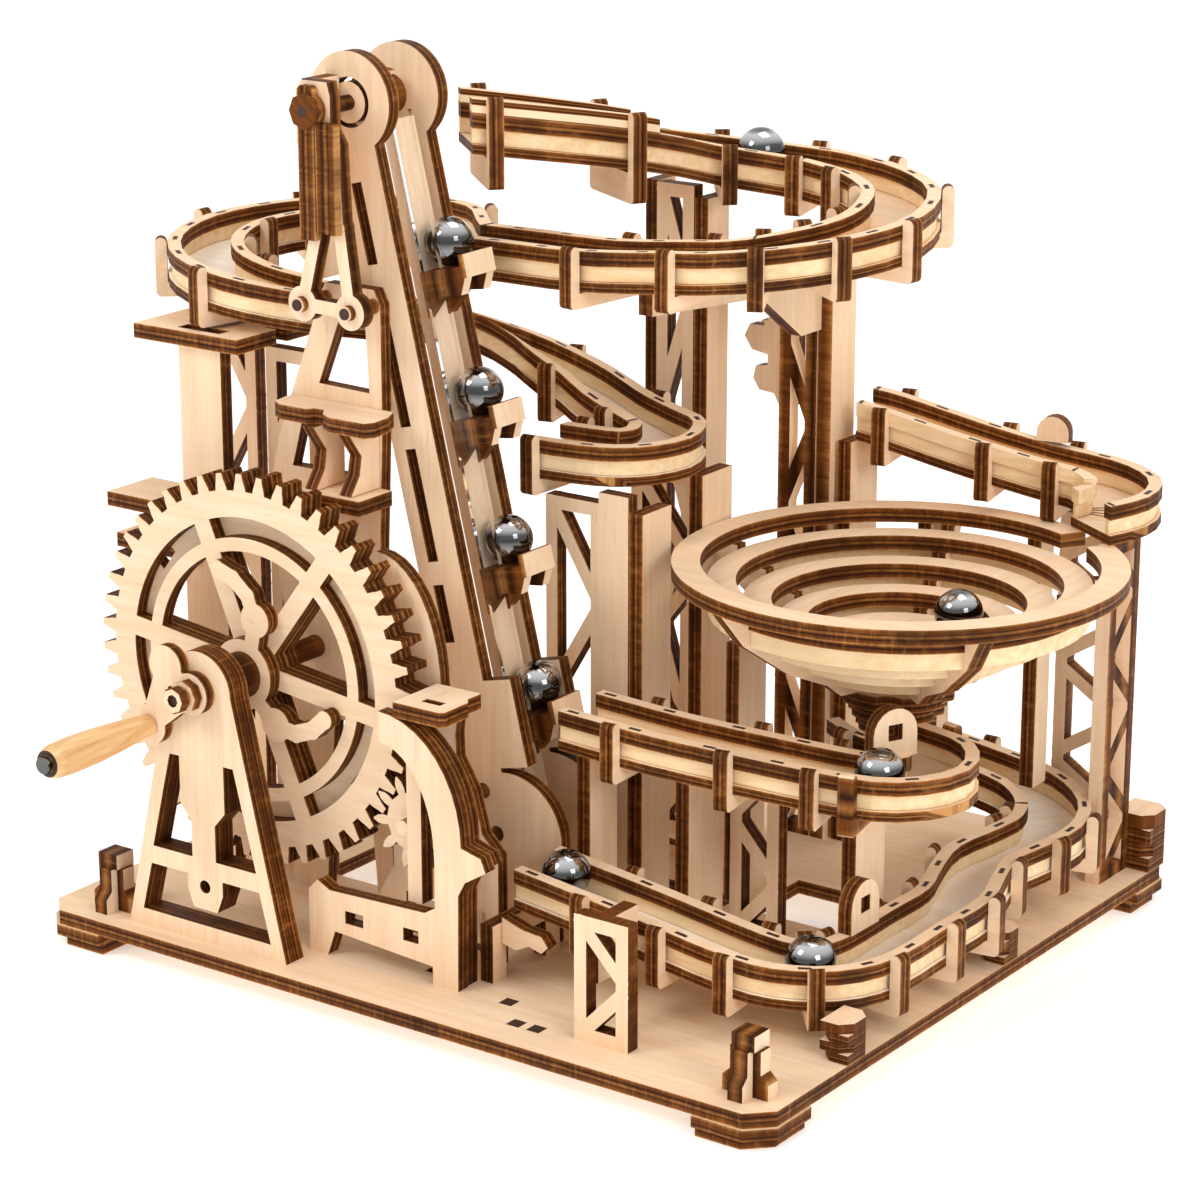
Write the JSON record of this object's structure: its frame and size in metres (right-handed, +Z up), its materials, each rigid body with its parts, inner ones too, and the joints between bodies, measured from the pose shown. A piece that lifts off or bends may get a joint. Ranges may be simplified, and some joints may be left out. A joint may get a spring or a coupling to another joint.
{
  "type": "wooden crank marble run",
  "caption": "Hand-cranked plywood marble run with a big gear, leaning scoop lift, railed tracks and a stepped ring funnel.",
  "frame": {"origin": "on the floor under the middle of the whole outline", "axes": "+Z up, +X right along the crank side's long edge, +Y from the crank side to the back"},
  "size_m": [0.2704, 0.2432, 0.2373],
  "materials": {
    "birch_ply": "matte",
    "burnt_ply": "matte",
    "turned_wood": "satin",
    "steel": "polished",
    "clear": "gloss"
  },
  "bodies": {
    "frame": {"base_plate": "birch_ply", "corner_feet": "burnt_ply", "corner_bollards": "burnt_ply", "crank_stand": "birch_ply", "arch_frame": "birch_ply", "arch_panel": "birch_ply", "drive_cover": "birch_ply", "drive_shelf": "birch_ply", "lift_tower": "birch_ply", "lift_tower_shelves": "burnt_ply", "lift_side_front": "birch_ply", "lift_side_rear": "birch_ply", "lift_guard": "clear", "lift_brace": "burnt_ply", "chain_return": "burnt_ply", "left_tower": "birch_ply", "back_tower": "birch_ply", "mid_tower": "birch_ply", "right_tower": "birch_ply", "top_floor": "birch_ply", "top_rails": "burnt_ply", "top_strips": "birch_ply", "top_clamps": "burnt_ply", "start_chute": "burnt_ply", "left_floor": "birch_ply", "left_rails": "burnt_ply", "left_strips": "birch_ply", "left_clamps": "burnt_ply", "slide_floor": "birch_ply", "slide_rails": "burnt_ply", "slide_clamps": "burnt_ply", "funnel_rings": "birch_ply", "funnel_ribs": "burnt_ply", "funnel_posts": "birch_ply", "truss_tower": "birch_ply", "middle_floor": "birch_ply", "middle_rails": "burnt_ply", "middle_clamps": "burnt_ply", "middle_legs": "birch_ply", "lower_floor": "birch_ply", "lower_rails": "burnt_ply", "lower_clamps": "burnt_ply", "edge_stacks": "burnt_ply"},
    "crank": {"gear_front": "birch_ply", "gear_back": "burnt_ply", "gear_arms": "birch_ply", "crank_axle": "birch_ply", "crank_arm": "birch_ply", "grip_pin": "steel"},
    "grip": {"crank_grip": "turned_wood"},
    "pinion": {"pinion": "birch_ply"},
    "lower_sprocket": {"lower_sprocket": "birch_ply"},
    "upper_sprocket": {"upper_sprocket": "birch_ply"},
    "carriage": {"lift_carriage": "birch_ply", "lift_marbles": "steel"},
    "marble_top": {"marble_top": "steel"},
    "marble_low": {"marble_low": "steel"},
    "marble_corner": {"marble_corner": "steel"},
    "marble_middle": {"marble_middle": "steel"},
    "marble_funnel": {"marble_funnel": "steel"}
  },
  "joints": [
    {"name": "crank_spin", "type": "hinge", "parent": "frame", "child": "crank", "pos_m": [-0.06236, -0.054, 0.079], "axis": [0, 1, 0], "continuous": true},
    {"name": "grip_spin", "type": "hinge", "parent": "crank", "child": "grip", "pos_m": [-0.07673, -0.107, 0.06817], "axis": [0, 1, 0], "continuous": true},
    {"name": "pinion_spin", "type": "hinge", "parent": "frame", "child": "pinion", "pos_m": [-0.01006, -0.054, 0.048], "axis": [0, 1, 0], "continuous": true},
    {"name": "lower_sprocket_spin", "type": "hinge", "parent": "frame", "child": "lower_sprocket", "pos_m": [-0.00573, -0.022, 0.03695], "axis": [0, 1, 0], "continuous": true},
    {"name": "upper_sprocket_spin", "type": "hinge", "parent": "frame", "child": "upper_sprocket", "pos_m": [-0.05085, -0.022, 0.22429], "axis": [0, 1, 0], "continuous": true},
    {"name": "chain_climb", "type": "slide", "parent": "frame", "child": "carriage", "axis": [-0.2341, 0, 0.9722], "range_m": [-0.019, 0]},
    {"name": "marble_top_roll", "type": "hinge", "parent": "frame", "child": "marble_top", "pos_m": [0.03356, 0.02991, 0.20714], "axis": [0.067, 0.1049, 0.9922], "range_deg": [-24, 4]},
    {"name": "marble_corner_roll", "type": "hinge", "parent": "frame", "child": "marble_corner", "pos_m": [0.0821, -0.01834, 0.02933], "axis": [0.0867, -0.026, 0.9959], "range_deg": [-9, 20]},
    {"name": "marble_middle_roll", "type": "hinge", "parent": "frame", "child": "marble_middle", "pos_m": [0.09143, 0.00715, 0.06857], "axis": [-0.0116, 0.0065, 0.9999], "range_deg": [-15, 28]},
    {"name": "marble_low_roll", "type": "slide", "parent": "frame", "child": "marble_low", "axis": [0.9931, 0, -0.1174], "range_m": [0, 0.025]},
    {"name": "marble_funnel_roll", "type": "hinge", "parent": "frame", "child": "marble_funnel", "pos_m": [0.07664, 0.035, 0.09625], "axis": [0, 0, 1], "continuous": true}
  ],
  "couplings": [
    {"joint": "pinion_spin", "follows": "crank_spin", "ratio": -4.8},
    {"joint": "lower_sprocket_spin", "follows": "crank_spin", "ratio": 4.8},
    {"joint": "upper_sprocket_spin", "follows": "crank_spin", "ratio": 4.8}
  ]
}
